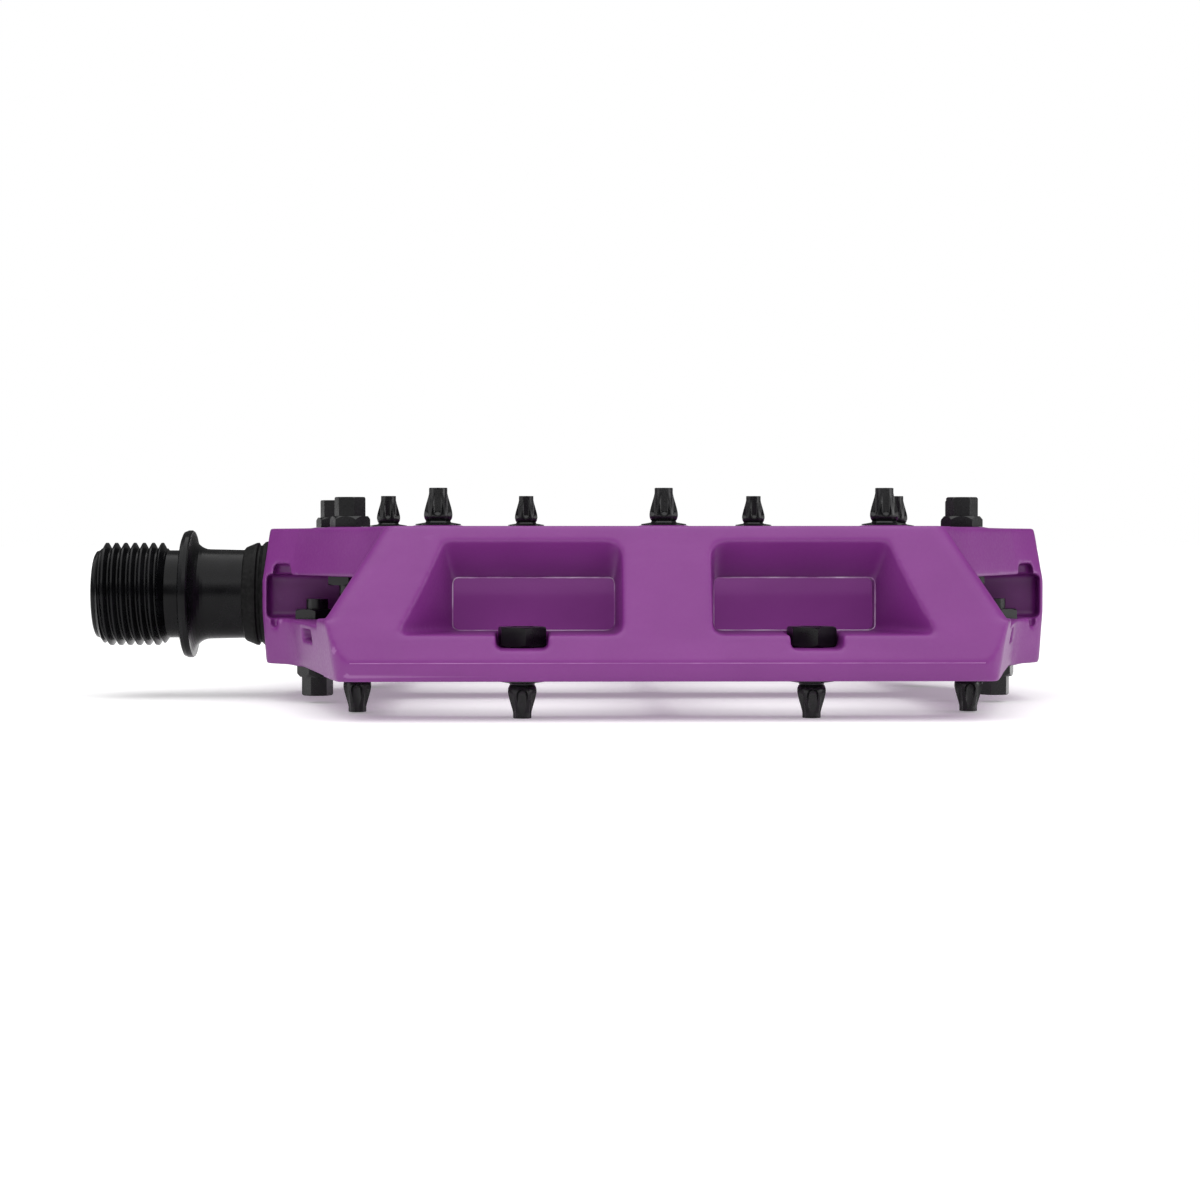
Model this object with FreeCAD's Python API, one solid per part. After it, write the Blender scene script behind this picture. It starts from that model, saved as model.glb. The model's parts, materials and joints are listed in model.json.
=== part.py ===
import FreeCAD, Part
import os
from math import cos, pi, radians, sin, sqrt, tan

# Right-hand flat pedal. Millimetres. +X runs outboard along the spindle axis and +Z is up.
# The origin is where the spindle axis crosses the face that seats on the crank arm.
# Most platform shapes are drawn from the platform's own centre, then moved out by PLATFORM_X.

# ---- driving dimensions ----
PLATFORM_X = 64.55        # crank seat to the middle of the platform
HALF_LENGTH = 52.6        # platform along the spindle
HALF_THICKNESS = 9.35     # platform at the front and rear bars
DISH = 0.33               # how much lower the faces are over the spindle
DISH_HALF_WIDTH = 44.0
NARROW_END_DRAFT = 0.9    # how far the end faces lean in at the top, on their narrow and wide sides
WIDE_END_DRAFT = 0.5
SIDE_DRAFT = 1.2          # the same for the side walls

BAR_TOP_Y = 46.0          # front bar: its upper edge
BAR_NOSE_Y = 52.0         # its foremost line
BAR_NOSE_Z = -6.9
BAR_BOTTOM_Y = 50.7
NOSE_BULGE = 0.28         # how far the surface under the nose bulges out
BAR_END_TOP_X = 34.2      # the bar's slanted ends
BAR_END_LOW_X = 41.8
BAR_END_LOW_Z = -2.86
BAR_END_ROUND = 2.5
BAR_INNER_TOP_Y = 35.5    # back of the front bar, at its upper and lower edge
BAR_INNER_BOTTOM_Y = 39.0
BAR_END_BACK_Y = 32.5     # how far back the bar's ends run into the sides

BOSS_HALF_WIDTH = 12.0    # end bosses round the spindle
BOSS_TAPER = 2.5          # how much less that is at the top, on the narrow side
BOSS_ROUND = 2.2
SHOULDER_X = 48.4         # where the side walls bend
SHOULDER_Y = 17.0
SHOULDER_ROUND = 7.0
NARROW_X = 31.2           # side outlines carried forward to the nose line
WIDE_X = 40.7
MIDDLE_HALF_HEIGHT = 2.0  # between these heights both ends of the sides are narrow

BARREL_HALF_WIDTH = 8.8
BARREL_EDGE_Z = 0.0       # above this the barrel's front slopes back, to BARREL_TOP_Y
BARREL_TOP_Y = 7.2
RIB_HALF_WIDTH = 2.5
WINDOW_OUTER_X = 33.0     # the four windows beside the barrel
WINDOW_ROUND = 3.0
SLOT_HALF_HEIGHT = 2.9    # nut slots in the side walls
SLOT_END_X = 51.9

RECESS_INNER_X = 5.4      # mouths of the funnel-shaped recesses in the front and rear bars
RECESS_TOP_Z = 7.55
RECESS_BOTTOM_Z = -3.7
RECESS_OUTER_TOP_X = 27.0
RECESS_OUTER_BOTTOM_X = 32.5
RECESS_INNER_TOP_ROUND = 2.0
RECESS_INNER_BOTTOM_ROUND = 1.1
RECESS_ROUND = 0.5        # the mouths' outer corners
RECESS_REACH_Y = 52.0     # the funnels are drawn out to here
PORT_X = (6.1, 26.1)      # the port at the bottom of each recess
PORT_Z = (-3.55, 3.0)
PORT_Y = 41.0
PORT_ROUND = 0.65

# Pins on the upper face as (x, y). The lower face has the same set, turned half round the spindle.
FLUTED_BAR_PINS = [(-27.9, -39.5), (0.0, -39.5), (27.4, -39.5), (-17.5, 44.3), (17.9, 44.3)]
FLUTED_CORNER_PINS = [(-38.3, 34.2), (38.8, 34.2)]
HEX_SIDE_PINS = [(-40.2, -20.0), (40.2, -20.0), (-44.95, 14.8), (45.45, 14.8)]
PIN_PAD_HEIGHT = 0.18     # round pads that the pins stand on
PIN_PAD_RADIUS = 3.0
PIN_PAD_DEPTH = 1.5       # of the cylinders that make the pads, most of it inside the platform
PIN_HEIGHT = 4.6
PIN_TIP_RADIUS = 1.13
PIN_BELLY_RADIUS = 1.73
PIN_FOOT_RADIUS = 1.5
PIN_FLANGE_RADIUS = 2.8
PIN_FLUTES = 6
FLUTE_RADIUS = 0.74
FLUTE_PITCH_RADIUS = 1.8
SHANK_RADIUS = 1.45       # M3
SHANK_HOLE_RADIUS = 1.6
HEX_HEAD_FLATS = 3.6
HEX_BASE_FLATS = 4.7
HEX_BASE_HEIGHT = 1.4
HEX_PIN_HEIGHT = 3.9
HEX_PIN_TURN = 20.0
NUT_FLATS = 5.5
NUT_HEIGHT = 2.4
OUTWARD_NUT_TURN = -8.0   # how the nuts lie that can be seen from outside
SIDE_NUT_Z = 1.65         # inner face of the nuts in the side slots
OUTWARD_NUT_Z = 2.95      # the same in the bars, for slots that open outwards and inwards
INWARD_NUT_Z = 4.35
SHANK_PAST_NUT = 0.05     # how far a bar pin's shank stays short of its nut's inner face
SIDE_SHANK_END_Z = 0.3
NUT_SLOT_WIDTH = 6.3
NUT_SLOT_ROUND = 0.5
NUT_SLOT_GAP = 0.12       # under and over the nut

# Spindle
THREAD_RADIUS = 7.1       # 9/16 in, 20 threads per inch, right-hand
THREAD_PITCH = 25.4 / 20.0
THREAD_DEPTH = 0.6134 * THREAD_PITCH
TIP_X = -12.05
THREAD_START_X = -11.5
THREAD_END_X = -2.05      # leaves a 2 mm plate room to lie on the flange
TIP_RADIUS = 6.05         # also the relief between thread and flange
FLANGE_RADIUS = 8.8
FLANGE_X = 1.38
NECK_FILLET = 2.3
NECK_RADIUS = 6.2
NECK_END_RADIUS = 6.1
NECK_END_X = 8.5
JOURNAL_RADIUS = 5.97
JOURNAL_END_X = 35.4
SHAFT_RADIUS = 5.0
SHAFT_END_X = 97.4
BEARING_SHOULDER_RADIUS = 3.6
SPINDLE_END_RADIUS = 3.0
SPINDLE_END_X = 114.6
HEX_KEY_FLATS = 8.0
HEX_KEY_DEPTH = 10.0

# Bush, bearing and end cap
BUSH_X = (13.0, 33.0)
BUSH_INNER_RADIUS = 6.0
BUSH_OUTER_RADIUS = 7.0
BEARING_X = (103.0, 108.0)
BEARING_OUTER_RADIUS = 6.5
OUTER_RACE_BORE = 5.55
INNER_RACE_RADIUS = 3.95
BALL_PITCH_RADIUS = 4.75
BALL_RADIUS = 1.19
BALL_COUNT = 7
GROOVE_RADIUS = 1.24
SHIELD_THICKNESS = 0.25
SHIELD_RADII = (4.1, 5.9)
CAGE_RADII = (4.35, 5.15)
CAGE_HALF_WIDTH = 1.7
POCKET_RADIUS = 1.32
WASHER_THICKNESS = 0.8
WASHER_RADIUS = 4.6
LOCKNUT_FLATS = 10.0
LOCKNUT_LENGTH = 5.4
LOCKNUT_INSERT_LENGTH = 1.5
CAP_BORE_RADIUS = 7.0
CAP_RADIUS = 6.95
CAP_SLEEVE_BORE = 6.1
CAP_FACE_X = 116.7
CAP_DISC_THICKNESS = 1.5
O_RING_X = 112.0
O_RING_RADIUS = 0.3
O_RING_GROOVE_DEPTH = 0.65
CORE_BORE_RADIUS = 6.4


# ---- shape helpers ----
def vector(x, y, z):
    return FreeCAD.Vector(x, y, z)


def box(x0, x1, y0, y1, z0, z1):
    return Part.makeBox(x1 - x0, y1 - y0, z1 - z0, vector(x0, y0, z0))


def prism_z(outline, z0, z1):
    """Solid standing on an (x, y) outline."""
    points = [vector(x, y, z0) for x, y in outline]
    return Part.Face(Part.makePolygon(points + points[:1])).extrude(vector(0, 0, z1 - z0))


def cylinder_x(radius, x0, x1):
    return Part.makeCylinder(radius, x1 - x0, vector(x0, 0, 0), vector(1, 0, 0))


def tube_x(inner, outer, x0, x1):
    return cylinder_x(outer, x0, x1).cut(cylinder_x(inner, x0, x1))


def ring_x(radius, pitch_radius, x):
    return Part.makeTorus(pitch_radius, radius, vector(x, 0, 0), vector(1, 0, 0))


def revolve_x(outline):
    """Solid of revolution about the spindle axis from (x, radius) points."""
    points = [vector(x, 0, r) for x, r in outline]
    face = Part.Face(Part.makePolygon(points + points[:1]))
    return face.revolve(vector(0, 0, 0), vector(1, 0, 0), 360)


def revolve_z(outline):
    """Solid of revolution about Z from (radius, z) points."""
    points = [vector(r, 0, z) for r, z in outline]
    face = Part.Face(Part.makePolygon(points + points[:1]))
    return face.revolve(vector(0, 0, 0), vector(0, 0, 1), 360)


def hexagon_z(flats, z0, z1, turn=0.0):
    """Hexagonal prism on Z. With no turn its corners point along Y."""
    corner = flats / sqrt(3)
    angles = [radians(turn + 90 + 60 * i) for i in range(6)]
    return prism_z([(corner * cos(a), corner * sin(a)) for a in angles], z0, z1)


def half_turn(shape):
    """The same shape turned half round the spindle, which swaps front-top and rear-bottom."""
    turned = shape.copy()
    turned.rotate(vector(0, 0, 0), vector(1, 0, 0), 180)
    return turned


def mirrored_x(shape):
    return shape.mirror(vector(0, 0, 0), vector(1, 0, 0))


def moved(shape, x, y, z):
    placed = shape.copy()
    placed.translate(vector(x, y, z))
    return placed


def on_both_sides(shape):
    return [shape, mirrored_x(shape)]


def four_fold(shape):
    """A front-top shape with its mirror image, and both of them on the other face."""
    pair = on_both_sides(shape)
    return pair + [half_turn(one) for one in pair]


def on_spindle(shape):
    """Platform coordinates to the pedal's frame."""
    return moved(shape, PLATFORM_X, 0, 0)


def face_height(y):
    """Height of the dished upper face at y."""
    if abs(y) >= DISH_HALF_WIDTH:
        return HALF_THICKNESS
    radius = (DISH_HALF_WIDTH ** 2 + DISH ** 2) / (2 * DISH)
    centre = HALF_THICKNESS - DISH + radius
    return centre - sqrt(radius ** 2 - y ** 2)


# ---- platform ----
def section_blank():
    """The platform's section across the spindle, from front to rear bar, as one long solid."""
    top = HALF_THICKNESS
    low = HALF_THICKNESS - DISH
    edge = DISH_HALF_WIDTH
    under = vector(-HALF_LENGTH, -(BAR_NOSE_Y + BAR_BOTTOM_Y) / 2 - NOSE_BULGE, (BAR_NOSE_Z - top) / 2)
    outline = [
        (-edge, top),
        (-BAR_TOP_Y, top),
        (-BAR_NOSE_Y, BAR_NOSE_Z),
        (-BAR_BOTTOM_Y, -top),
        (-edge, -top),
    ]
    points = [vector(-HALF_LENGTH, y, z) for y, z in outline]
    front = [
        Part.makeLine(points[0], points[1]),
        Part.makeLine(points[1], points[2]),
        Part.Arc(points[2], under, points[3]).toShape(),
        Part.makeLine(points[3], points[4]),
        Part.Arc(points[4], vector(-HALF_LENGTH, 0, -low), vector(-HALF_LENGTH, edge, -top)).toShape(),
    ]
    edges = front + [half_turn(one) for one in front]
    face = Part.Face(Part.Wire(Part.sortEdges(edges)[0]))
    return face.extrude(vector(2 * HALF_LENGTH, 0, 0))


def rounded_wire(corners, z):
    """Closed wire at height z through (x, y, radius) corners, with an arc wherever a radius is given."""
    starts = []
    ends = []
    middles = []
    for i, (x, y, radius) in enumerate(corners):
        corner = vector(x, y, z)
        before = vector(*corners[i - 1][:2], z) - corner
        after = vector(*corners[(i + 1) % len(corners)][:2], z) - corner
        before.normalize()
        after.normalize()
        half = before.getAngle(after) / 2
        setback = radius / tan(half)
        inward = before + after
        inward.normalize()
        starts.append(corner + before * setback)
        ends.append(corner + after * setback)
        middles.append(corner + inward * (radius / sin(half) - radius))
    edges = []
    for i, (x, y, radius) in enumerate(corners):
        if radius:
            edges.append(Part.Arc(starts[i], middles[i], ends[i]).toShape())
        edges.append(Part.makeLine(ends[i], starts[(i + 1) % len(corners)]))
    return Part.Wire(edges)


def side_outline(front_x, rear_x, draft, z):
    """Plan of the platform at z, with the half widths that its sides reach at the nose lines."""
    halves = []
    for nose_x, way in ((front_x, -1), (rear_x, 1)):
        is_wide = nose_x == WIDE_X
        nose_round = BAR_END_ROUND if is_wide else 0
        end_x = HALF_LENGTH - draft * (WIDE_END_DRAFT if is_wide else NARROW_END_DRAFT)
        boss_y = BOSS_HALF_WIDTH - (0 if is_wide else draft * BOSS_TAPER)
        inset = draft * SIDE_DRAFT
        halves.append([
            (nose_x - inset, way * BAR_NOSE_Y, nose_round),
            (SHOULDER_X - inset, way * SHOULDER_Y, SHOULDER_ROUND),
            (end_x, way * boss_y, BOSS_ROUND),
        ])
    right = halves[0] + halves[1][::-1]
    left = [(-x, y, radius) for x, y, radius in reversed(right)]
    return rounded_wire(right + left, z)


def side_block(front_x, rear_x):
    """The platform's plan above the middle, drawn in towards the top by the drafts."""
    low = side_outline(front_x, rear_x, 0.0, MIDDLE_HALF_HEIGHT)
    high = side_outline(front_x, rear_x, 1.0, HALF_THICKNESS)
    return Part.makeLoft([low, high], True, True)


def bar_end():
    """The front bar up to its slanted ends, which stand out beyond the narrow outline."""
    right = [(BAR_END_TOP_X, HALF_THICKNESS), (BAR_END_LOW_X, BAR_END_LOW_Z)]
    outline = right + [(-x, z) for x, z in reversed(right)]
    points = [vector(x, -BAR_NOSE_Y, z) for x, z in outline]
    face = Part.Face(Part.makePolygon(points + points[:1]))
    slab = face.extrude(vector(0, BAR_NOSE_Y - BAR_END_BACK_Y, 0)).common(section_blank())
    return slab.makeFillet(BAR_END_ROUND, [e for e in slab.Edges if is_bar_corner(e)])


def is_bar_corner(edge):
    """True for the long slanted edges where a bar's ends meet its sloping face."""
    upright = abs(edge.tangentAt(edge.FirstParameter).z) > 0.7
    return upright and edge.Length > 3 and abs(edge.CenterOfMass.y) > BAR_TOP_Y


def platform_blank():
    """The platform's outer form, before anything is hollowed out of it."""
    middle = MIDDLE_HALF_HEIGHT
    upper = side_block(NARROW_X, WIDE_X)
    waist = Part.Face(side_outline(NARROW_X, NARROW_X, 0.0, -middle)).extrude(vector(0, 0, 2 * middle))
    wide = Part.Face(side_outline(WIDE_X, WIDE_X, 0.0, -HALF_THICKNESS))
    end = bar_end().common(wide.extrude(vector(0, 0, 2 * HALF_THICKNESS)))
    sides = section_blank().common(waist.fuse([upper, half_turn(upper)]).removeSplitter())
    return sides.fuse([end, half_turn(end)]).removeSplitter()


def corner_window():
    """One of the four windows beside the barrel, at the front right. It widens downwards at the bar."""
    points = [
        vector(RIB_HALF_WIDTH, -BAR_INNER_TOP_Y, HALF_THICKNESS + 1),
        vector(RIB_HALF_WIDTH, -BAR_INNER_BOTTOM_Y, -HALF_THICKNESS - 1),
        vector(RIB_HALF_WIDTH, -BARREL_HALF_WIDTH, -HALF_THICKNESS - 1),
        vector(RIB_HALF_WIDTH, -BARREL_HALF_WIDTH, BARREL_EDGE_Z),
        vector(RIB_HALF_WIDTH, -BARREL_TOP_Y, HALF_THICKNESS + 1),
    ]
    face = Part.Face(Part.makePolygon(points + points[:1]))
    window = face.extrude(vector(WINDOW_OUTER_X - RIB_HALF_WIDTH, 0, 0))
    upright = [e for e in window.Edges if abs(e.tangentAt(e.FirstParameter).z) > 0.9]
    return window.makeFillet(WINDOW_ROUND, upright)


def side_slot():
    """The slot in the front half of the right side wall, which gives room for the nuts."""
    outline = [
        (36.3, -BARREL_HALF_WIDTH - 0.6),
        (SLOT_END_X, -BARREL_HALF_WIDTH - 0.6),
        (SLOT_END_X, -30.0),
        (46.0, -41.5),
        (34.6, -41.5),
    ]
    return prism_z(outline, -SLOT_HALF_HEIGHT, SLOT_HALF_HEIGHT)


def recess():
    """Funnel-shaped recess in the right half of the front bar, with the port behind it."""
    mouth = [
        (RECESS_INNER_X, RECESS_TOP_Z, RECESS_INNER_TOP_ROUND),
        (RECESS_OUTER_TOP_X, RECESS_TOP_Z, RECESS_ROUND),
        (RECESS_OUTER_BOTTOM_X, RECESS_BOTTOM_Z, RECESS_ROUND),
        (RECESS_INNER_X, RECESS_BOTTOM_Z, RECESS_INNER_BOTTOM_ROUND),
    ]
    throat = [
        (PORT_X[0], PORT_Z[1]),
        (PORT_X[1], PORT_Z[1]),
        (PORT_X[1], PORT_Z[0]),
        (PORT_X[0], PORT_Z[0]),
    ]
    outer = []
    for (mouth_x, mouth_z, mouth_round), (throat_x, throat_z) in zip(mouth, throat):
        stretch = (RECESS_REACH_Y - PORT_Y) / (bar_face(mouth_z) - PORT_Y)
        x = throat_x + (mouth_x - throat_x) * stretch
        z = throat_z + (mouth_z - throat_z) * stretch
        outer.append((x, z, PORT_ROUND + (mouth_round - PORT_ROUND) * stretch))
    inner = [(x, z, PORT_ROUND) for x, z in throat]
    funnel = Part.makeLoft([rounded_wire(outer, RECESS_REACH_Y), rounded_wire(inner, PORT_Y)], True, True)
    funnel.rotate(vector(0, 0, 0), vector(1, 0, 0), 90)
    port = box(PORT_X[0], PORT_X[1], -PORT_Y - 1.0, -BAR_INNER_TOP_Y + 1.0, PORT_Z[0], PORT_Z[1])
    corners = [e for e in port.Edges if abs(e.tangentAt(e.FirstParameter).y) > 0.9]
    return [funnel, port.makeFillet(PORT_ROUND, corners)]


def bar_face(z):
    """How far forward the front bar's sloping face is at height z."""
    return BAR_TOP_Y + (BAR_NOSE_Y - BAR_TOP_Y) * (HALF_THICKNESS - z) / (HALF_THICKNESS - BAR_NOSE_Z)


def bar_nut_z(y):
    """Inner face of a bar nut: the pins nearer the middle have theirs higher up."""
    return INWARD_NUT_Z if y < 0 else OUTWARD_NUT_Z


def bar_nut_slots():
    """Slots for the bars' nuts: three open backwards from the front bar, two outwards from the rear bar."""
    slots = []
    for x, y in FLUTED_BAR_PINS:
        z0 = bar_nut_z(y) - NUT_SLOT_GAP
        z1 = bar_nut_z(y) + NUT_HEIGHT + NUT_SLOT_GAP
        if y < 0:
            half = NUT_FLATS / 2 + 0.05
            mouth = box(x - half, x + half, y, -BAR_INNER_TOP_Y + 2.0, z0, z1)
            slots += [mouth, moved(hexagon_z(2 * half, z0, z1), x, y, 0)]
        else:
            half = NUT_SLOT_WIDTH / 2
            back = y - NUT_FLATS / sqrt(3) - 0.1
            slot = box(x - half, x + half, back, BAR_NOSE_Y + 1.0, z0, z1)
            corners = [e for e in slot.Edges if abs(e.tangentAt(e.FirstParameter).y) > 0.9]
            slots.append(slot.makeFillet(NUT_SLOT_ROUND, corners))
    return slots


def side_nut_pockets():
    """Shallow hexagons in the roof of the side slots that stop the nuts turning."""
    pocket = hexagon_z(NUT_FLATS + 0.1, SLOT_HALF_HEIGHT - 0.5, SIDE_NUT_Z + NUT_HEIGHT)
    return [moved(pocket, x, y, 0) for x, y in FLUTED_CORNER_PINS + HEX_SIDE_PINS]


def pin_seat(y):
    """Height of the pads that the pins at y stand on."""
    return face_height(y) + PIN_PAD_HEIGHT


def pin_pads():
    """Round pads on the upper face, sunk well into it and cut off at its edges."""
    foot_z = HALF_THICKNESS - 2 * PIN_PAD_DEPTH
    plan = Part.Face(side_outline(WIDE_X, WIDE_X, 1.0, foot_z)).extrude(vector(0, 0, 3 * PIN_PAD_DEPTH))
    pads = []
    for x, y in FLUTED_CORNER_PINS + HEX_SIDE_PINS + FLUTED_BAR_PINS:
        foot = vector(x, y, pin_seat(y) - PIN_PAD_DEPTH)
        pads.append(Part.makeCylinder(PIN_PAD_RADIUS, PIN_PAD_DEPTH, foot).common(plan))
    return pads


def shank_holes():
    """Clearance holes from the pads down past the nuts."""
    hole = Part.makeCylinder(SHANK_HOLE_RADIUS, HALF_THICKNESS + 1)
    holes = [moved(hole, x, y, 0) for x, y in FLUTED_CORNER_PINS + HEX_SIDE_PINS]
    return holes + [moved(hole, x, y, bar_nut_z(y)) for x, y in FLUTED_BAR_PINS]


def spindle_bore():
    """The stepped bore along the barrel, in the pedal's frame."""
    steps = [
        (BUSH_OUTER_RADIUS, PLATFORM_X - HALF_LENGTH - 1, BUSH_X[1]),
        (CORE_BORE_RADIUS, BUSH_X[1] - 1, SHAFT_END_X - 1),
        (OUTER_RACE_BORE + 0.2, SHAFT_END_X - 2, BEARING_X[0] + 1),
        (BEARING_OUTER_RADIUS, BEARING_X[0], BEARING_X[1] + 1),
        (CAP_BORE_RADIUS, BEARING_X[1], PLATFORM_X + HALF_LENGTH + 1),
    ]
    return [moved(cylinder_x(r, x0, x1), -PLATFORM_X, 0, 0) for r, x0, x1 in steps]


def moulding_notches():
    """Small core marks at the mouth of the front right slot."""
    upper = box(48.3, 50.8, -18.0, -11.0, SLOT_HALF_HEIGHT - 0.2, 4.35)
    lower = box(50.2, 51.2, -18.0, -12.5, -4.2, -SLOT_HALF_HEIGHT + 0.2)
    pocket = prism_z([(42.3, -35.0), (46.5, -35.0), (49.0, -25.5), (44.6, -25.5)], -5.2, -3.8)
    return [upper, lower, pocket]


def platform_body():
    cuts = four_fold(corner_window())
    cuts += four_fold(side_slot())
    for piece in recess() + moulding_notches():
        cuts += four_fold(piece)
    for piece in bar_nut_slots() + side_nut_pockets() + shank_holes():
        cuts += [piece, half_turn(piece)]
    pads = pin_pads()
    padded = platform_blank().fuse(pads + [half_turn(pad) for pad in pads])
    return on_spindle(padded.cut(cuts).cut(spindle_bore()).removeSplitter())


# ---- pins and nuts ----
def vase_profile():
    """(radius, z) curve of a fluted pin from its foot to just under its tip."""
    points = [
        (PIN_FOOT_RADIUS, 0.5),
        (PIN_BELLY_RADIUS, 0.95),
        (PIN_BELLY_RADIUS - 0.06, 1.9),
        (PIN_TIP_RADIUS + 0.27, 2.9),
        (PIN_TIP_RADIUS, 3.95),
    ]
    curve = Part.BSplineCurve()
    curve.interpolate([vector(r, 0, z) for r, z in points])
    return curve.toShape()


def fluted_pin(shank_end):
    """Vase-shaped pin with a thin flange, standing on z = 0, with its shank down to shank_end."""
    lower = [
        (0, shank_end),
        (SHANK_RADIUS - 0.3, shank_end),
        (SHANK_RADIUS, shank_end + 0.3),
        (SHANK_RADIUS, 0),
        (PIN_FLANGE_RADIUS, 0),
        (PIN_FLANGE_RADIUS, 0.12),
        (PIN_FOOT_RADIUS + 0.1, 0.32),
        (PIN_FOOT_RADIUS, 0.5),
    ]
    upper = [
        (PIN_TIP_RADIUS, 3.95),
        (PIN_TIP_RADIUS, PIN_HEIGHT - 0.06),
        (PIN_TIP_RADIUS - 0.06, PIN_HEIGHT),
        (0, PIN_HEIGHT),
        (0, shank_end),
    ]
    edges = [vase_profile()]
    for outline in (lower, upper):
        points = [vector(r, 0, z) for r, z in outline]
        edges += [Part.makeLine(a, b) for a, b in zip(points, points[1:])]
    face = Part.Face(Part.Wire(Part.sortEdges(edges)[0]))
    pin = face.revolve(vector(0, 0, 0), vector(0, 0, 1), 360)
    flute_foot = vector(FLUTE_PITCH_RADIUS, 0, 1.0 + FLUTE_RADIUS)
    flute = Part.makeCylinder(FLUTE_RADIUS, PIN_HEIGHT, flute_foot)
    flute = flute.fuse(Part.makeSphere(FLUTE_RADIUS, flute_foot))
    flutes = []
    for i in range(PIN_FLUTES):
        one = flute.copy()
        one.rotate(vector(0, 0, 0), vector(0, 0, 1), 360 * i / PIN_FLUTES + 30)
        flutes.append(one)
    socket = hexagon_z(1.3, PIN_HEIGHT - 1.2, PIN_HEIGHT + 0.1)
    return pin.cut(flutes + [socket])


def hex_pin(shank_end):
    """Side pin: a hexagonal head on a wider hexagonal base, standing on z = 0."""
    base = hexagon_z(HEX_BASE_FLATS, 0, HEX_BASE_HEIGHT, HEX_PIN_TURN)
    cone = Part.makeCone(3.5, 2.1, HEX_BASE_HEIGHT + 0.3, vector(0, 0, 0))
    head = hexagon_z(HEX_HEAD_FLATS, 0.5, HEX_PIN_HEIGHT, HEX_PIN_TURN)
    crown = Part.makeCone(5.8, 1.9, 4.0, vector(0, 0, HEX_PIN_HEIGHT - 4.0))
    shank = Part.makeCylinder(SHANK_RADIUS, -shank_end, vector(0, 0, shank_end))
    return base.common(cone).fuse([head.common(crown), shank]).removeSplitter()


def nut(turn):
    """M3 hexagon nut from z = 0 up, with its corners turned off."""
    blank = hexagon_z(NUT_FLATS, 0, NUT_HEIGHT, turn)
    edge = NUT_FLATS / sqrt(3)
    turned = revolve_z([
        (0, 0),
        (edge - 0.35, 0),
        (edge, 0.25),
        (edge, NUT_HEIGHT - 0.25),
        (edge - 0.35, NUT_HEIGHT),
        (0, NUT_HEIGHT),
    ])
    return blank.common(turned).cut(Part.makeCylinder(SHANK_RADIUS + 0.03, NUT_HEIGHT))


def pins_and_nuts():
    """Every pin with its nut, named by face and by kind, as (name, shape) pairs."""
    groups = [
        ("bar", FLUTED_BAR_PINS, fluted_pin),
        ("corner", FLUTED_CORNER_PINS, fluted_pin),
        ("side", HEX_SIDE_PINS, hex_pin),
    ]
    pieces = []
    for place, points, make in groups:
        for number, (x, y) in enumerate(points, 1):
            in_bar = place == "bar"
            nut_z = bar_nut_z(y) if in_bar else SIDE_NUT_Z
            shank_end = nut_z + SHANK_PAST_NUT if in_bar else SIDE_SHANK_END_Z
            seat = pin_seat(y)
            pin = moved(make(shank_end - seat), x, y, seat)
            own_nut = moved(nut(OUTWARD_NUT_TURN if in_bar and y > 0 else 0.0), x, y, nut_z)
            for face, turn in (("upper", on_spindle), ("lower", lambda s: on_spindle(half_turn(s)))):
                pieces.append((f"{face}_{place}_pin_{number}", turn(pin)))
                pieces.append((f"{face}_{place}_nut_{number}", turn(own_nut)))
    return pieces


# ---- spindle and what turns with it ----
def crank_thread():
    """Right-hand thread along X: a helical ridge on a core, chamfered at both ends."""
    length = THREAD_END_X - THREAD_START_X
    root = THREAD_RADIUS - THREAD_DEPTH
    foot = THREAD_PITCH / 2 - 0.03
    crest = THREAD_PITCH / 16
    chamfer = THREAD_DEPTH
    section = [
        vector(root - 0.1, 0, -foot),
        vector(THREAD_RADIUS + 0.05, 0, -crest),
        vector(THREAD_RADIUS + 0.05, 0, crest),
        vector(root - 0.1, 0, foot),
    ]
    helix = Part.makeHelix(THREAD_PITCH, length + 2.0, root)
    ridge = Part.Wire(helix.Edges).makePipeShell([Part.makePolygon(section + section[:1])], True, True)
    ridge.translate(vector(0, 0, -1))
    core = Part.makeCylinder(root, length + 6, vector(0, 0, -3))
    outside = Part.makeCylinder(THREAD_RADIUS + 2, length + 8, vector(0, 0, -4)).cut(
        Part.makeCylinder(THREAD_RADIUS, length + 8, vector(0, 0, -4)))
    spare = 0.1
    envelope = revolve_z([
        (0, 0),
        (root - 0.3, 0),
        (THREAD_RADIUS + spare, chamfer + spare),
        (THREAD_RADIUS + spare, length - chamfer - spare),
        (root - 0.3, length),
        (0, length),
    ])
    threaded = core.fuse(ridge).cut(outside).common(envelope)
    threaded.rotate(vector(0, 0, 0), vector(0, 1, 0), 90)
    threaded.translate(vector(THREAD_START_X, 0, 0))
    return threaded


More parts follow.
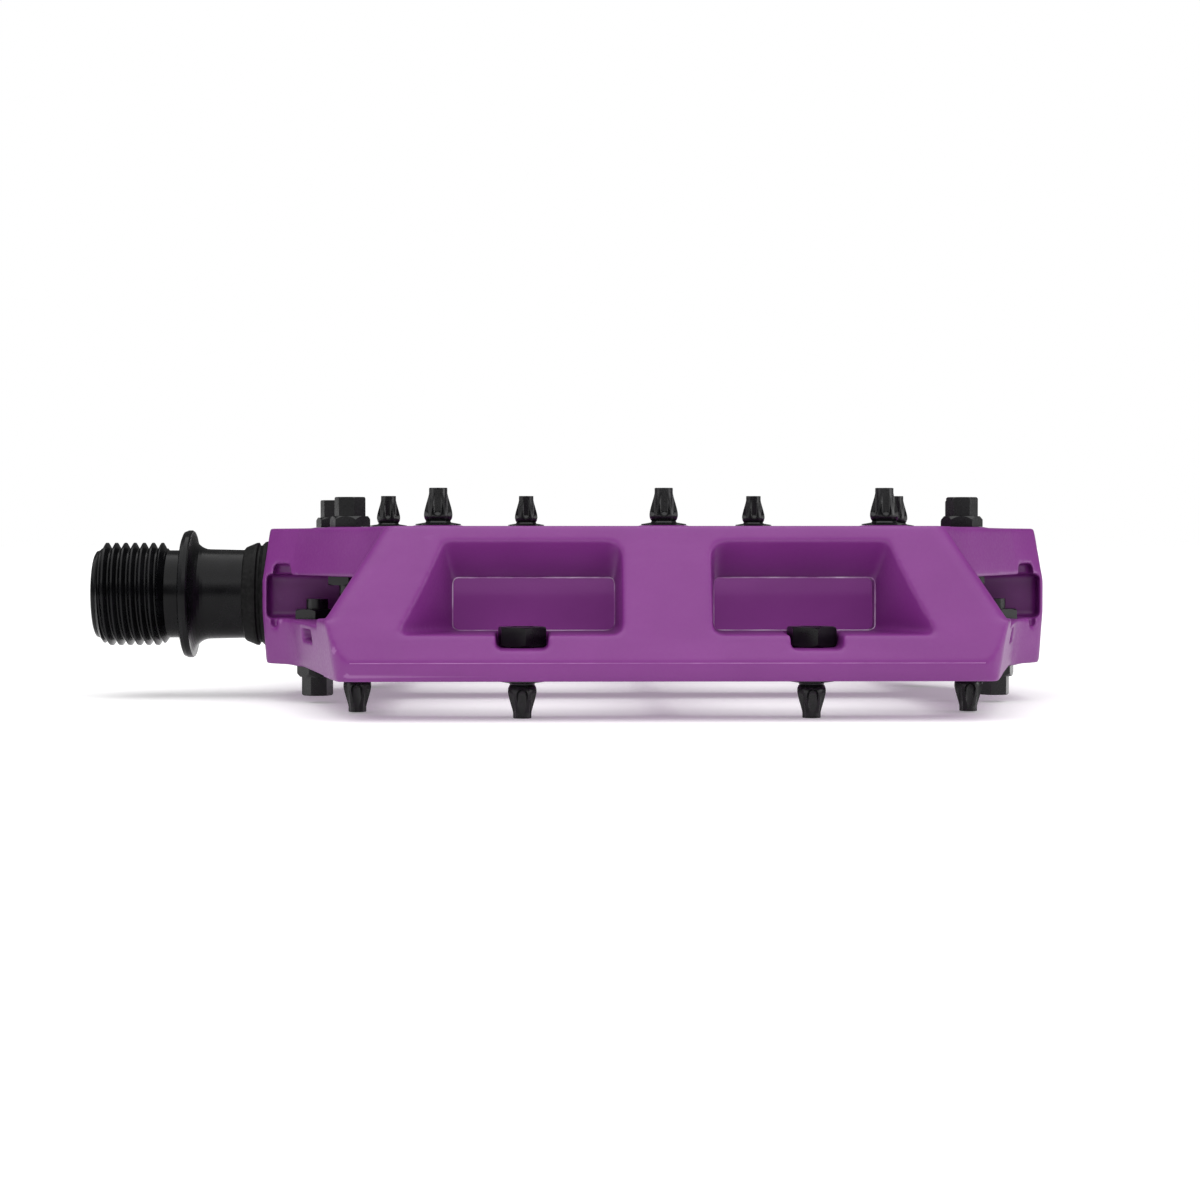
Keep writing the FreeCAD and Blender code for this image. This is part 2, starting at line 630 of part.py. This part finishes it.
def spindle_profile():
    """(x, radius) outline from the crank end outwards, with the neck fillet worked out."""
    steps = 8
    centre_x = FLANGE_X + NECK_FILLET
    centre_r = NECK_RADIUS + NECK_FILLET
    fillet = []
    for i in range(steps + 1):
        a = pi / 2 * i / steps
        fillet.append((centre_x - NECK_FILLET * cos(a), centre_r - NECK_FILLET * sin(a)))
    outline = [
        (TIP_X, 0),
        (TIP_X, TIP_RADIUS - 0.35),
        (TIP_X + 0.15, TIP_RADIUS - 0.1),
        (TIP_X + 0.45, TIP_RADIUS),
        (0, TIP_RADIUS),
        (0, FLANGE_RADIUS - 0.7),
        (0.2, FLANGE_RADIUS - 0.2),
        (0.7, FLANGE_RADIUS),
        (FLANGE_X - 0.2, FLANGE_RADIUS),
        (FLANGE_X, FLANGE_RADIUS - 0.15),
    ]
    return outline + fillet + [
        (NECK_END_X, NECK_END_RADIUS),
        (NECK_END_X, JOURNAL_RADIUS),
        (JOURNAL_END_X, JOURNAL_RADIUS),
        (JOURNAL_END_X + 2.0, SHAFT_RADIUS),
        (SHAFT_END_X, SHAFT_RADIUS),
        (SHAFT_END_X + 2.0, BEARING_SHOULDER_RADIUS),
        (BEARING_X[0], BEARING_SHOULDER_RADIUS),
        (BEARING_X[0], SPINDLE_END_RADIUS),
        (SPINDLE_END_X - 0.5, SPINDLE_END_RADIUS),
        (SPINDLE_END_X, SPINDLE_END_RADIUS - 0.5),
        (SPINDLE_END_X, 0),
    ]


def spindle():
    key = hexagon_z(HEX_KEY_FLATS, 0, HEX_KEY_DEPTH)
    key.rotate(vector(0, 0, 0), vector(0, 1, 0), 90)
    blank = revolve_x(spindle_profile()).fuse(crank_thread())
    return blank.cut(moved(key, TIP_X, 0, 0))


def lip_seal():
    """Rubber ring on the spindle whose lip runs just off the platform's end face."""
    profile = [
        (0.0, JOURNAL_RADIUS),
        (0.0, 6.3),
        (0.2, 6.5),
        (1.5, 7.05),
        (1.85, 7.1),
        (2.05, 6.7),
        (2.3, 6.7),
        (2.8, 7.2),
        (3.25, 7.3),
        (3.38, 7.2),
        (3.38, 7.0),
        (2.65, 6.3),
        (2.65, JOURNAL_RADIUS),
    ]
    return revolve_x([(NECK_END_X + x, r) for x, r in profile])


def bearing_inner_race():
    race = tube_x(SPINDLE_END_RADIUS, INNER_RACE_RADIUS, BEARING_X[0], BEARING_X[1])
    return race.cut(ring_x(GROOVE_RADIUS, BALL_PITCH_RADIUS, bearing_middle()))


def lock_washer():
    x0 = BEARING_X[1]
    return tube_x(SPINDLE_END_RADIUS + 0.1, WASHER_RADIUS, x0, x0 + WASHER_THICKNESS)


def locknut():
    """Hexagon part of the locknut, in steel, with a round collar at its outer end."""
    x0 = BEARING_X[1] + WASHER_THICKNESS
    hexagon = hexagon_z(LOCKNUT_FLATS, 0, LOCKNUT_LENGTH - LOCKNUT_INSERT_LENGTH)
    hexagon.rotate(vector(0, 0, 0), vector(0, 1, 0), 90)
    collar = tube_x(4.3, 4.7, x0 + LOCKNUT_LENGTH - LOCKNUT_INSERT_LENGTH, x0 + LOCKNUT_LENGTH)
    bore = cylinder_x(SPINDLE_END_RADIUS, x0 - 1, x0 + LOCKNUT_LENGTH + 1)
    return moved(hexagon, x0, 0, 0).cut(bore).fuse(collar)


def locknut_insert():
    x1 = BEARING_X[1] + WASHER_THICKNESS + LOCKNUT_LENGTH
    return tube_x(SPINDLE_END_RADIUS, 4.3, x1 - LOCKNUT_INSERT_LENGTH, x1 - 0.2)


# ---- what turns with the platform ----
def bearing_middle():
    return (BEARING_X[0] + BEARING_X[1]) / 2


def spindle_bush():
    return tube_x(BUSH_INNER_RADIUS, BUSH_OUTER_RADIUS, BUSH_X[0], BUSH_X[1])


def bearing_outer_race():
    race = tube_x(OUTER_RACE_BORE, BEARING_OUTER_RADIUS, BEARING_X[0], BEARING_X[1])
    groove = ring_x(GROOVE_RADIUS, BALL_PITCH_RADIUS, bearing_middle())
    seats = [tube_x(OUTER_RACE_BORE - 0.1, SHIELD_RADII[1], x0, x1) for x0, x1 in shield_places()]
    return race.cut([groove] + seats)


def shield_places():
    x0, x1 = BEARING_X
    return [(x0 + 0.15, x0 + 0.15 + SHIELD_THICKNESS), (x1 - 0.15 - SHIELD_THICKNESS, x1 - 0.15)]


def bearing_shield(number):
    x0, x1 = shield_places()[number]
    return tube_x(SHIELD_RADII[0], SHIELD_RADII[1], x0, x1)


def end_cap():
    """Press-in cap: a domed disc with two tool slots, and a sleeve that backs the outer race."""
    inner_x = CAP_FACE_X - CAP_DISC_THICKNESS
    sleeve = tube_x(CAP_SLEEVE_BORE, CAP_RADIUS, BEARING_X[1] + 0.05, inner_x + 0.5)
    disc = revolve_x([
        (inner_x, 0),
        (inner_x, CAP_RADIUS),
        (CAP_FACE_X - 0.7, CAP_RADIUS),
        (CAP_FACE_X - 0.45, CAP_RADIUS - 0.3),
        (CAP_FACE_X - 0.2, CAP_RADIUS - 2.5),
        (CAP_FACE_X, 2.0),
        (CAP_FACE_X, 0),
    ])
    groove = tube_x(CAP_RADIUS - O_RING_GROOVE_DEPTH, CAP_RADIUS + 1, O_RING_X - 0.4, O_RING_X + 0.4)
    slot = box(CAP_FACE_X - 0.9, CAP_FACE_X + 1, -0.6, 0.6, 4.3, 6.3)
    return sleeve.fuse(disc).cut([groove, slot, half_turn(slot)])


def cap_o_ring():
    return ring_x(O_RING_RADIUS, CAP_BORE_RADIUS - O_RING_RADIUS, O_RING_X)


# ---- what rolls between the races ----
def ball_centres():
    angles = [2 * pi * i / BALL_COUNT for i in range(BALL_COUNT)]
    r = BALL_PITCH_RADIUS
    return [vector(bearing_middle(), r * cos(a), r * sin(a)) for a in angles]


def bearing_balls():
    return Part.makeCompound([Part.makeSphere(BALL_RADIUS, c) for c in ball_centres()])


def bearing_cage():
    """Thin ring with a round pocket drilled through it for each ball."""
    x = bearing_middle()
    ring = tube_x(CAGE_RADII[0], CAGE_RADII[1], x - CAGE_HALF_WIDTH, x + CAGE_HALF_WIDTH)
    pockets = []
    for centre in ball_centres():
        outward = vector(0, centre.y, centre.z)
        pockets.append(Part.makeCylinder(POCKET_RADIUS, 2 * BALL_PITCH_RADIUS, vector(x, 0, 0), outward))
    return ring.cut(pockets)


def all_parts():
    parts = [
        ("spindle", spindle()),
        ("lip_seal", lip_seal()),
        ("bearing_inner_race", bearing_inner_race()),
        ("lock_washer", lock_washer()),
        ("locknut", locknut()),
        ("locknut_insert", locknut_insert()),
        ("platform_body", platform_body()),
        ("spindle_bush", spindle_bush()),
        ("bearing_outer_race", bearing_outer_race()),
        ("bearing_shield_inboard", bearing_shield(0)),
        ("bearing_shield_outboard", bearing_shield(1)),
        ("end_cap", end_cap()),
        ("cap_o_ring", cap_o_ring()),
        ("bearing_cage", bearing_cage()),
        ("bearing_balls", bearing_balls()),
    ]
    return parts + pins_and_nuts()


os.makedirs("parts", exist_ok=True)
for name, shape in all_parts():
    shape.exportStep(f"parts/{name}.step")
    box_size = shape.BoundBox
    print(name, shape.isValid(), len(shape.Solids), round(shape.Volume, 1),
          [round(v, 2) for v in (box_size.XMin, box_size.XMax, box_size.YMin, box_size.YMax,
                                 box_size.ZMin, box_size.ZMax)])
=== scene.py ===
import json
import math

import bpy
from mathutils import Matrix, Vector


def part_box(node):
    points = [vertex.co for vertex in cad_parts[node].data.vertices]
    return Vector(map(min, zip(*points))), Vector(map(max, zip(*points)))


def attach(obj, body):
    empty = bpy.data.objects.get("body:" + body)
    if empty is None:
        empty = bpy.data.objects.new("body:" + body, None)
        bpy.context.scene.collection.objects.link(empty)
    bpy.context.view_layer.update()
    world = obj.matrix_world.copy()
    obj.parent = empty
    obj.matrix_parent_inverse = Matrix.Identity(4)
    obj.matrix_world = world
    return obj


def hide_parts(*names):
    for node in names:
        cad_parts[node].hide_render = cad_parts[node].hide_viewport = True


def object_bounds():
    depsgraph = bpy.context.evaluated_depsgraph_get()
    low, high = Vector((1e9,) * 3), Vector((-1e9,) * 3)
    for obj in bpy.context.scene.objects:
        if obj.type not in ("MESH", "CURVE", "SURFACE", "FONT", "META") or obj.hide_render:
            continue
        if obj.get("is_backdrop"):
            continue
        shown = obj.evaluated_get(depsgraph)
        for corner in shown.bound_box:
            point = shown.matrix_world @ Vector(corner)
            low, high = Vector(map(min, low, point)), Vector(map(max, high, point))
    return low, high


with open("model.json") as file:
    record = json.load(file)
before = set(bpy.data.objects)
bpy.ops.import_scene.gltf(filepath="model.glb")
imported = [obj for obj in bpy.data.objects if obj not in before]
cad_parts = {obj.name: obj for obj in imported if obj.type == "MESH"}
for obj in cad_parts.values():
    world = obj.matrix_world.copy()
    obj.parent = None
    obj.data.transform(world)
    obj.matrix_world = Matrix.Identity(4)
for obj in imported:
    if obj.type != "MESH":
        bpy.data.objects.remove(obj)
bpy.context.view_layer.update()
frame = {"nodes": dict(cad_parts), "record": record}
nodes = frame["nodes"]
MM = 0.001

platform_low, platform_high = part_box("platform_body")
PLATFORM = (platform_low + platform_high) / 2

# the moulded body
WELD_DISTANCE = 0.002 * MM
VOXEL = 0.3 * MM                   # grid that the body is drawn on
SMOOTH_FACTOR = 0.5
EDGE_SMOOTHING = 9                 # rounds of smoothing, which soften its edges
KEPT_FACES = 0.3                   # share of the grid's faces kept

# hair-thin edges left by the mould
TUBE_SIDES = 6
CORNER_STEPS = 4
PORT_X = (6.1 * MM, 26.1 * MM)     # openings at the bottom of the bars' recesses
PORT_Z = (-3.55 * MM, 3.0 * MM)
PORT_Y = 41.0 * MM
PORT_ROUND = 0.65 * MM
FLASH_RADIUS = 0.09 * MM
PARTING_HALF_LENGTH = 38.0 * MM    # line along each nose, where the mould parts
PARTING_Y = 51.90 * MM
PARTING_Z = 7.05 * MM
PARTING_RADIUS = 0.08 * MM
PARTING_STEPS = 19

# colours, most as a dark and a light shade
NYLON = ((0.174, 0.018, 0.190), (0.190, 0.022, 0.207))
FLOW_MARK = (0.26, 0.055, 0.28)
# paler colour on ridges: edge wear and a painted highlight
RIDGE_WEAR_AND_HIGHLIGHT = (0.46, 0.24, 0.48)
SHADED_GROOVE = (0.13, 0.03, 0.14)
SCUFF = (0.50, 0.30, 0.52)
# painted highlight: pale shades on the port flash
FLASH_HIGHLIGHT = ((0.36, 0.12, 0.38), (0.80, 0.62, 0.82))
# painted highlight: pale shades on the parting lines
PARTING_HIGHLIGHT = ((0.25, 0.06, 0.27), (0.35, 0.13, 0.37))
BLACKENED = ((0.0025, 0.0025, 0.003), (0.006, 0.006, 0.007))
RUBBER = ((0.006, 0.006, 0.006), (0.014, 0.014, 0.014))
PLASTIC = ((0.010, 0.010, 0.011), (0.02, 0.02, 0.022))
PALE_NYLON = ((0.50, 0.50, 0.45), (0.6, 0.6, 0.54))
BRONZE = ((0.55, 0.33, 0.16), (0.66, 0.42, 0.22))
BEARING_STEEL = ((0.66, 0.66, 0.68), (0.75, 0.75, 0.77))
PLAIN_STEEL = ((0.50, 0.50, 0.51), (0.62, 0.62, 0.63))
FLOOR_WHITE = ((0.88, 0.88, 0.88), (0.90, 0.90, 0.90))
MOST_NOISE = (0.3, 0.7)            # most of a noise lies between these

# stage, light and camera, in metres, watts and degrees
FLOOR_HALF = 3.0
FLOOR_ROUGHNESS = 0.9
FLOOR_GLOW = 0.25                  # keeps the shadow on the floor light
AMBIENT = 0.12                     # light from all round, against the white behind the object
SKY = 3.3                          # watts per square metre
SKY_ANGLE = 100.0
SKY_TILT = 14.0
SOFTBOXES = (                      # name, place, width and height, power
    ("front", (0.05, -0.9, 0.45), (0.5, 0.4), 0.4),
    ("left_side", (-0.75, -0.25, 0.2), (0.4, 0.4), 0.8),
    ("right_side", (0.95, -0.25, 0.2), (0.4, 0.4), 1.9),
)
SENSOR_WIDTH = 36.0                # this and the lens in millimetres
LENS = 78.84
CLIP_START = 0.01
CLIP_END = 50.0
EYE_LEFT = 15.2 * MM               # from the platform's middle
EYE_DISTANCE = 365.0 * MM          # in front of the spindle
EYE_HEIGHT = 8.85 * MM             # above the spindle
EYE_DOWN = 1.526                   # how far the camera looks down and to the right
EYE_RIGHT = 1.286


# ---- node helpers ----
class Surface:
    """A material under construction: a Principled shader and short ways to add nodes to it."""

    def __init__(self, name):
        self.material = bpy.data.materials.new(name)
        self.material.use_nodes = True
        self.tree = self.material.node_tree
        self.shader = self.tree.nodes["Principled BSDF"]
        self.place = self.add("ShaderNodeTexCoord").outputs["Object"]

    def add(self, kind, **settings):
        node = self.tree.nodes.new(kind)
        for key, value in settings.items():
            setattr(node, key, value)
        return node

    def link(self, source, target):
        self.tree.links.new(source, target)

    def noise(self, scale, detail=4.0, roughness=0.5, stretch=None):
        """Noise across the object, from 0 to 1; the larger its scale, the finer it is."""
        node = self.add("ShaderNodeTexNoise")
        node.inputs["Scale"].default_value = scale
        node.inputs["Detail"].default_value = detail
        node.inputs["Roughness"].default_value = roughness
        source = self.place
        if stretch:
            mapping = self.add("ShaderNodeMapping")
            mapping.inputs["Scale"].default_value = stretch
            self.link(source, mapping.inputs["Vector"])
            source = mapping.outputs["Vector"]
        self.link(source, node.inputs["Vector"])
        return node.outputs["Fac"]

    def spread(self, value, low, high, out_low=0.0, out_high=1.0):
        """The value stretched from the range low to high onto out_low to out_high."""
        node = self.add("ShaderNodeMapRange")
        node.inputs["From Min"].default_value = low
        node.inputs["From Max"].default_value = high
        node.inputs["To Min"].default_value = out_low
        node.inputs["To Max"].default_value = out_high
        self.link(value, node.inputs["Value"])
        return node.outputs["Result"]

    def product(self, a, b):
        node = self.add("ShaderNodeMath", operation="MULTIPLY")
        self.link(a, node.inputs[0])
        self.link(b, node.inputs[1])
        return node.outputs[0]

    def blend(self, factor, a, b):
        """Colour a where the factor is 0 and colour b where it is 1."""
        node = self.add("ShaderNodeMix", data_type="RGBA")
        self.link(factor, node.inputs["Factor"])
        for socket, value in ((node.inputs["A"], a), (node.inputs["B"], b)):
            if isinstance(value, tuple):
                socket.default_value = (*value, 1.0)
            else:
                self.link(value, socket)
        return node.outputs["Result"]

    def pointiness(self):
        """About 0.5 on flats, more on ridges, less in corners."""
        return self.add("ShaderNodeNewGeometry").outputs["Pointiness"]

    def roughness(self, noise, low, high):
        """Roughness that follows a noise, from low to high."""
        return self.spread(noise, *MOST_NOISE, low, high)

    def bump(self, height, strength, distance):
        node = self.add("ShaderNodeBump")
        node.inputs["Strength"].default_value = strength
        node.inputs["Distance"].default_value = distance
        self.link(height, node.inputs["Height"])
        self.link(node.outputs["Normal"], self.shader.inputs["Normal"])

    def set(self, **values):
        """Sets the shader's inputs, each named with _ for a space, to a value or another node's output."""
        for key, value in values.items():
            socket = self.shader.inputs[key.replace("_", " ")]
            if isinstance(value, (int, float, tuple)):
                socket.default_value = (*value, 1.0) if isinstance(value, tuple) else value
            else:
                self.link(value, socket)


# ---- the moulded body ----
def moulded_body():
    """The platform as it leaves the mould: the CAD solid with every edge softly rounded."""
    source = nodes["platform_body"]
    mesh = source.data.copy()
    mesh.name = "moulded_body"
    body = bpy.data.objects.new("moulded_body", mesh)
    bpy.context.scene.collection.objects.link(body)
    weld = body.modifiers.new("weld", "WELD")
    weld.merge_threshold = WELD_DISTANCE
    remesh = body.modifiers.new("remesh", "REMESH")
    remesh.mode = "VOXEL"
    remesh.voxel_size = VOXEL
    smooth = body.modifiers.new("smooth", "SMOOTH")
    smooth.factor = SMOOTH_FACTOR
    smooth.iterations = EDGE_SMOOTHING
    decimate = body.modifiers.new("decimate", "DECIMATE")
    decimate.ratio = KEPT_FACES
    bpy.context.view_layer.update()
    ready = body.evaluated_get(bpy.context.evaluated_depsgraph_get())
    final = bpy.data.meshes.new_from_object(ready)
    body.modifiers.clear()
    body.data = final
    final.shade_smooth()
    final.materials.clear()
    final.materials.append(moulded_nylon())
    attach(body, "platform")
    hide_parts("platform_body")


def ring(point, across, radius):
    """Circle of points round a point, in the plane of Y and the direction across."""
    along_y = Vector((0, 1, 0))
    turns = [2 * math.pi * k / TUBE_SIDES for k in range(TUBE_SIDES)]
    return [point + radius * (math.cos(turn) * across + math.sin(turn) * along_y) for turn in turns]


def tube(rings, closed):
    """Vertices and faces of a thin tube through rings of points, capped where it ends."""
    faces = []
    lengths = len(rings) if closed else len(rings) - 1
    for i in range(lengths):
        here = i * TUBE_SIDES
        there = (i + 1) % len(rings) * TUBE_SIDES
        for k in range(TUBE_SIDES):
            after = (k + 1) % TUBE_SIDES
            faces.append((here + k, here + after, there + after, there + k))
    if not closed:
        last = (len(rings) - 1) * TUBE_SIDES
        faces.append(tuple(reversed(range(TUBE_SIDES))))
        faces.append(tuple(range(last, last + TUBE_SIDES)))
    return [point for circle in rings for point in circle], faces


def port_edge(side, end):
    """Flash round one port, on the bar at that side (+1 rear) and end (+1 outboard)."""
    middle = Vector((
        PLATFORM.x + end * (PORT_X[0] + PORT_X[1]) / 2,
        side * PORT_Y,
        -side * (PORT_Z[0] + PORT_Z[1]) / 2,
    ))
    half_x = (PORT_X[1] - PORT_X[0]) / 2 - PORT_ROUND
    half_z = (PORT_Z[1] - PORT_Z[0]) / 2 - PORT_ROUND
    rings = []
    for quarter, (sx, sz) in enumerate(((1, 1), (-1, 1), (-1, -1), (1, -1))):
        corner = middle + Vector((sx * half_x, 0, sz * half_z))
        for step in range(CORNER_STEPS + 1):
            turn = math.pi / 2 * (quarter + step / CORNER_STEPS)
            outward = Vector((math.cos(turn), 0, math.sin(turn)))
            rings.append(ring(corner + PORT_ROUND * outward, outward, FLASH_RADIUS))
    return tube(rings, True)


def parting_line(side):
    """Thin ridge where the mould's halves meet, along the nose of the bar at that side."""
    rings = []
    upward = Vector((0, 0, 1))
    for step in range(-PARTING_STEPS, PARTING_STEPS + 1):
        x = PLATFORM.x + PARTING_HALF_LENGTH * step / PARTING_STEPS
        point = Vector((x, side * PARTING_Y, side * PARTING_Z))
        rings.append(ring(point, upward, PARTING_RADIUS))
    return tube(rings, False)


def thin_piece(name, tubes, material):
    """One piece that rides on the platform, made of several tubes."""
    verts = []
    faces = []
    for tube_verts, tube_faces in tubes:
        faces += [tuple(len(verts) + i for i in face) for face in tube_faces]
        verts += tube_verts
    mesh = bpy.data.meshes.new(name)
    mesh.from_pydata(verts, [], faces)
    mesh.shade_smooth()
    mesh.materials.append(material)
    piece = bpy.data.objects.new(name, mesh)
    bpy.context.scene.collection.objects.link(piece)
    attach(piece, "platform")


# ---- materials ----
def highlit_edge_nylon(name, dark, light):
    """Nylon of the mould's thin edges, painted paler in patches as a highlight."""
    s = Surface(name)
    patches = s.noise(260.0, 5.0)
    # the light shade is a painted highlight
    colour = s.blend(s.spread(patches, 0.35, 0.65), dark, light)
    s.set(Base_Color=colour, Roughness=s.roughness(patches, 0.35, 0.5))
    s.bump(s.noise(3000.0, 2.0), 0.2, 0.03 * MM)
    return s.material


def moulded_nylon():
    """Purple nylon with flow marks and a few scuffs, paler on ridges with edge wear and a painted
    highlight, and darker in corners with painted shade.
    """
    s = Surface("moulded_nylon")
    cloud = s.noise(90.0, 3.0)
    grain = s.noise(2600.0, 3.0, 0.6)
    flow = s.noise(40.0, 4.0, stretch=(0.5, 2.0, 3.0))
    scratches = s.noise(700.0, 8.0, 0.7, stretch=(1.0, 1.0, 4.0))
    pointiness = s.pointiness()
    # paler on ridges: edge wear and a painted highlight; darker in corners: painted shade
    ridge = s.spread(pointiness, 0.53, 0.62, 0.0, 0.3)
    groove = s.spread(pointiness, 0.47, 0.40, 0.0, 0.35)
    scuff = s.product(s.spread(scratches, 0.66, 0.74, 0.0, 0.12), s.spread(cloud, 0.5, 0.6))
    colour = s.blend(s.spread(cloud, 0.35, 0.65), *NYLON)
    colour = s.blend(s.spread(flow, 0.55, 0.75, 0.0, 0.25), colour, FLOW_MARK)
    colour = s.blend(ridge, colour, RIDGE_WEAR_AND_HIGHLIGHT)
    colour = s.blend(groove, colour, SHADED_GROOVE)
    colour = s.blend(scuff, colour, SCUFF)
    s.set(Base_Color=colour, Roughness=s.roughness(grain, 0.40, 0.52), Specular_IOR_Level=0.5)
    s.bump(grain, 0.2, 0.05 * MM)
    return s.material


def black_steel(name, specular, low, high):
    """Blackened steel, its roughness from low to high."""
    s = Surface(name)
    cloud = s.noise(300.0, 5.0)
    colour = s.blend(s.spread(cloud, 0.4, 0.7), *BLACKENED)
    s.set(Base_Color=colour, Specular_IOR_Level=specular, Roughness=s.roughness(cloud, low, high))
    s.bump(s.noise(4000.0, 2.0), 0.15, 0.03 * MM)
    return s.material


def black_rubber():
    s = Surface("black_rubber")
    grain = s.noise(1800.0, 4.0)
    colour = s.blend(s.spread(grain, 0.4, 0.7), *RUBBER)
    s.set(Base_Color=colour, Specular_IOR_Level=0.08, Roughness=s.roughness(grain, 0.40, 0.6))
    s.bump(grain, 0.3, 0.05 * MM)
    return s.material


def plastic(name, shades, low, high):
    """A moulded plastic, its roughness from low to high."""
    s = Surface(name)
    grain = s.noise(1500.0, 3.0)
    s.set(Base_Color=s.blend(grain, *shades), Roughness=s.roughness(grain, low, high))
    s.bump(grain, 0.2, 0.04 * MM)
    return s.material


def bare_metal(name, shades, low, high):
    """Bare metal with fine marks round the spindle, its roughness from low to high."""
    s = Surface(name)
    streaks = s.noise(700.0, 4.0, stretch=(8.0, 1.0, 1.0))
    s.set(
        Base_Color=s.blend(streaks, *shades),
        Metallic=1.0,
        Roughness=s.roughness(streaks, low, high),
    )
    s.bump(streaks, 0.1, 0.02 * MM)
    return s.material


def finish_nodes():
    """Gives every CAD node but the platform, which the moulded body replaces, its slot's finish."""
    finishes = {
        "spindle_black": black_steel("spindle_black", 0.15, 0.20, 0.32),
        "pin_black": black_steel("pin_black", 0.40, 0.20, 0.34),
        "nut_black": black_steel("nut_black", 0.35, 0.25, 0.38),
        "black_rubber": black_rubber(),
        "black_plastic": plastic("black_plastic", PLASTIC, 0.4, 0.55),
        "nylon_insert": plastic("nylon_insert", PALE_NYLON, 0.35, 0.5),
        "bronze": bare_metal("bronze", BRONZE, 0.25, 0.4),
        "bearing_steel": bare_metal("bearing_steel", BEARING_STEEL, 0.08, 0.18),
        "plain_steel": bare_metal("plain_steel", PLAIN_STEEL, 0.25, 0.4),
    }
    for part in frame["record"]["subparts"]:
        if part["node"] == "platform_body":
            continue
        mesh = nodes[part["node"]].data
        mesh.materials.clear()
        mesh.materials.append(finishes[part["material_slot"]])


# ---- stage, light and camera ----
def white_world():
    """White behind the object, and a dim even light on it."""
    world = bpy.data.worlds.new("studio")
    world.use_nodes = True
    tree = world.node_tree
    background = tree.nodes["Background"]
    background.inputs["Color"].default_value = (1.0, 1.0, 1.0, 1.0)
    path = tree.nodes.new("ShaderNodeLightPath")
    strength = tree.nodes.new("ShaderNodeMapRange")
    strength.inputs["To Min"].default_value = AMBIENT
    strength.inputs["To Max"].default_value = 1.0
    tree.links.new(path.outputs["Is Camera Ray"], strength.inputs["Value"])
    tree.links.new(strength.outputs["Result"], background.inputs["Strength"])
    bpy.context.scene.world = world


def floor():
    """A pale floor under the lowest pins, as they are at rest."""
    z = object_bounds()[0].z
    corners = [(x * FLOOR_HALF, y * FLOOR_HALF, z) for x, y in ((-1, -1), (1, -1), (1, 1), (-1, 1))]
    mesh = bpy.data.meshes.new("floor")
    mesh.from_pydata(corners, [], [(0, 1, 2, 3)])
    sheet = bpy.data.objects.new("floor", mesh)
    bpy.context.scene.collection.objects.link(sheet)
    s = Surface("pale_floor")
    s.set(
        Base_Color=s.blend(s.noise(3.0), *FLOOR_WHITE),
        Roughness=FLOOR_ROUGHNESS,
        Emission_Color=(1.0, 1.0, 1.0),
        Emission_Strength=FLOOR_GLOW,
    )
    mesh.materials.append(s.material)
    sheet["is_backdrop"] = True


def sky_light():
    """A very soft light from above that doesn't fade with distance, so the floor stays white."""
    data = bpy.data.lights.new("sky", "SUN")
    data.angle = math.radians(SKY_ANGLE)
    data.energy = SKY
    light = bpy.data.objects.new("sky", data)
    light.rotation_euler = (math.radians(SKY_TILT), 0.0, 0.0)
    bpy.context.scene.collection.objects.link(light)


def softbox(name, place, size, power):
    """A rectangular light that faces the platform."""
    data = bpy.data.lights.new(name, "AREA")
    data.shape = "RECTANGLE"
    data.size, data.size_y = size
    data.energy = power
    light = bpy.data.objects.new(name, data)
    light.location = place
    aim = PLATFORM - Vector(place)
    light.rotation_mode = "QUATERNION"
    light.rotation_quaternion = aim.to_track_quat("-Z", "Y")
    bpy.context.scene.collection.objects.link(light)


def camera():
    """Stands in front of the leading edge, a little above the spindle, and looks almost along +Y."""
    data = bpy.data.cameras.new("camera")
    data.sensor_width = SENSOR_WIDTH
    data.lens = LENS
    data.clip_start = CLIP_START
    data.clip_end = CLIP_END
    eye = bpy.data.objects.new("camera", data)
    eye.location = (PLATFORM.x - EYE_LEFT, -EYE_DISTANCE, EYE_HEIGHT)
    eye.rotation_euler = (math.radians(90.0 - EYE_DOWN), 0.0, math.radians(-EYE_RIGHT))
    bpy.context.scene.collection.objects.link(eye)
    bpy.context.scene.camera = eye


moulded_body()
thin_piece(
    "port_flash",
    [port_edge(side, end) for side in (-1, 1) for end in (-1, 1)],
    highlit_edge_nylon("flash_highlight", *FLASH_HIGHLIGHT),
)
thin_piece(
    "parting_lines",
    [parting_line(side) for side in (-1, 1)],
    highlit_edge_nylon("parting_highlight", *PARTING_HIGHLIGHT),
)
finish_nodes()
floor()
white_world()
sky_light()
for box in SOFTBOXES:
    softbox(*box)
camera()
bpy.context.scene.view_settings.view_transform = "Standard"
